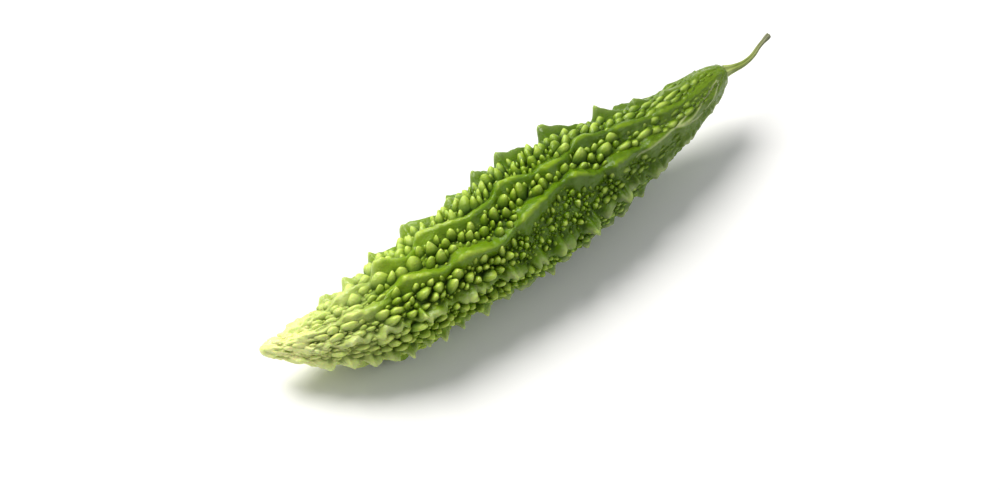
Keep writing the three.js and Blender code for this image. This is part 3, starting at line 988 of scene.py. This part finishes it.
class GOURD_OT_stalk(bpy.types.Operator):
    """Build the cut stalk"""
    bl_idname = "gourd.stalk"
    bl_label = "Stalk"

    def execute(self, context):
        settings = context.scene.gourd_stalk
        start = Vector((
            TIP_X + FRUIT_LENGTH + STALK_GAP,
            SIDE_SHIFT + MIDLINE_SIDE[-1][1],
            MIDLINE_HEIGHT[-1][1],
        ))
        spots = [Vector(point) + start for point in STALK_PATH]
        lengths = [0.0]
        for one, two in zip(spots, spots[1:]):
            lengths.append(lengths[-1] + (two - one).length)
        shares = [length / lengths[-1] for length in lengths]
        axes = [list(zip(shares, [spot[k] for spot in spots])) for k in range(3)]

        def spot_at(t):
            return Vector([float(through(axis, np.array(t))) for axis in axes])

        bm = new_ball(STALK_SEGMENTS, STALK_RINGS)
        shades = []
        for vert in bm.verts:
            ring, turn = ball_place(vert, STALK_RINGS)
            t = min(max((ring - STALK_CAP_RINGS) / (STALK_RINGS - 2 * STALK_CAP_RINGS), 0), 1)
            shrink = min(ring, STALK_RINGS - ring, STALK_CAP_RINGS) / STALK_CAP_RINGS
            centre = spot_at(t)
            before = spot_at(max(t - STALK_STEP, 0))
            after = spot_at(min(t + STALK_STEP, 1))
            along = (after - before).normalized()
            side = Vector((0, 0, 1)).cross(along).normalized()
            top = along.cross(side)
            rib = math.cos(STALK_RIBS * turn + RIB_TWIST * t)
            radius = float(through(STALK_RADII, np.array(t))) * (1 + RIB_DEPTH * rib) * shrink
            shades.append((t, (1 + rib) / 2, 1 if t >= 1 and shrink < CUT_REACH else 0, 1))
            vert.co = (centre + side * radius * math.cos(turn) + top * radius * math.sin(turn)) * MM
        stalk = new_object(bm, "gourd_stalk")
        add_relief(stalk, shades)
        finish_piece(stalk, "stalk", stalk_material(settings))
        return {"FINISHED"}


class GOURD_OT_stage(bpy.types.Operator):
    """Lay the floor and set up the camera and the lights"""
    bl_idname = "gourd.stage"
    bl_label = "Stage"

    def execute(self, context):
        settings = context.scene.gourd_stage
        scene = context.scene
        bm = bmesh.new()
        bmesh.ops.create_grid(bm, x_segments=1, y_segments=1, size=FLOOR_SIZE)
        mesh = bpy.data.meshes.new("floor")
        bm.to_mesh(mesh)
        bm.free()
        mesh.materials.append(Graph("floor").finish(
            Base_Color=FLOOR_COLOUR, Roughness=FLOOR_ROUGHNESS, Specular_IOR_Level=FLOOR_SPECULAR))
        floor = bpy.data.objects.new("floor", mesh)
        scene.collection.objects.link(floor)

        a = AZIMUTH * DEGREE
        e = ELEVATION * DEGREE
        back = Vector((math.sin(a) * math.cos(e), -math.cos(a) * math.cos(e), math.sin(e)))
        right = Vector((math.cos(a), math.sin(a), 0))
        up = back.cross(right)
        lens = bpy.data.cameras.new("camera")
        lens.lens = LENS
        lens.sensor_width = SENSOR_WIDTH
        camera = bpy.data.objects.new("camera", lens)
        camera.location = AIM + back * DISTANCE
        camera.rotation_euler = back.to_track_quat("Z", "Y").to_euler()
        scene.collection.objects.link(camera)
        scene.camera = camera

        for light, power in zip(LIGHTS, (settings.key_power, settings.fill_power)):
            data = bpy.data.lights.new(light.name, "AREA")
            data.shape = "DISK"
            data.size = LIGHT_SIZE
            data.energy = power
            data.color = light.colour
            direction = up * light.up + right * light.right + back * light.back
            lamp = bpy.data.objects.new(light.name, data)
            lamp.location = AIM + direction.normalized() * light.distance
            lamp.rotation_euler = direction.to_track_quat("Z", "Y").to_euler()
            scene.collection.objects.link(lamp)

        world = bpy.data.worlds.new("sky")
        world.use_nodes = True
        sky = world.node_tree.nodes["Background"]
        sky.inputs[0].default_value = (1, 1, 1, 1)
        sky.inputs[1].default_value = settings.world_strength
        scene.world = world
        scene.view_settings.view_transform = "Standard"
        return {"FINISHED"}


class GOURD_PT_panel(bpy.types.Panel):
    bl_idname = "GOURD_PT_panel"
    bl_label = "Gourd"
    bl_space_type = "VIEW_3D"
    bl_region_type = "UI"
    bl_category = "Gourd"

    def draw(self, context):
        layout = self.layout
        for group, operator in (
            (context.scene.gourd_fruit, GOURD_OT_fruit),
            (context.scene.gourd_stalk, GOURD_OT_stalk),
            (context.scene.gourd_stage, GOURD_OT_stage),
        ):
            for key in group.__annotations__:
                layout.prop(group, key)
            layout.operator(operator.bl_idname)


CLASSES = (
    FruitSettings, StalkSettings, StageSettings,
    GOURD_OT_fruit, GOURD_OT_stalk, GOURD_OT_stage, GOURD_PT_panel,
)


def register():
    for cls in CLASSES:
        bpy.utils.register_class(cls)
    bpy.types.Scene.gourd_fruit = PointerProperty(type=FruitSettings)
    bpy.types.Scene.gourd_stalk = PointerProperty(type=StalkSettings)
    bpy.types.Scene.gourd_stage = PointerProperty(type=StageSettings)


def unregister():
    del bpy.types.Scene.gourd_fruit
    del bpy.types.Scene.gourd_stalk
    del bpy.types.Scene.gourd_stage
    for cls in reversed(CLASSES):
        bpy.utils.unregister_class(cls)


def main():
    register()
    bpy.ops.gourd.stage()
    bpy.ops.gourd.fruit()
    bpy.ops.gourd.stalk()


if __name__ == "__main__":
    main()
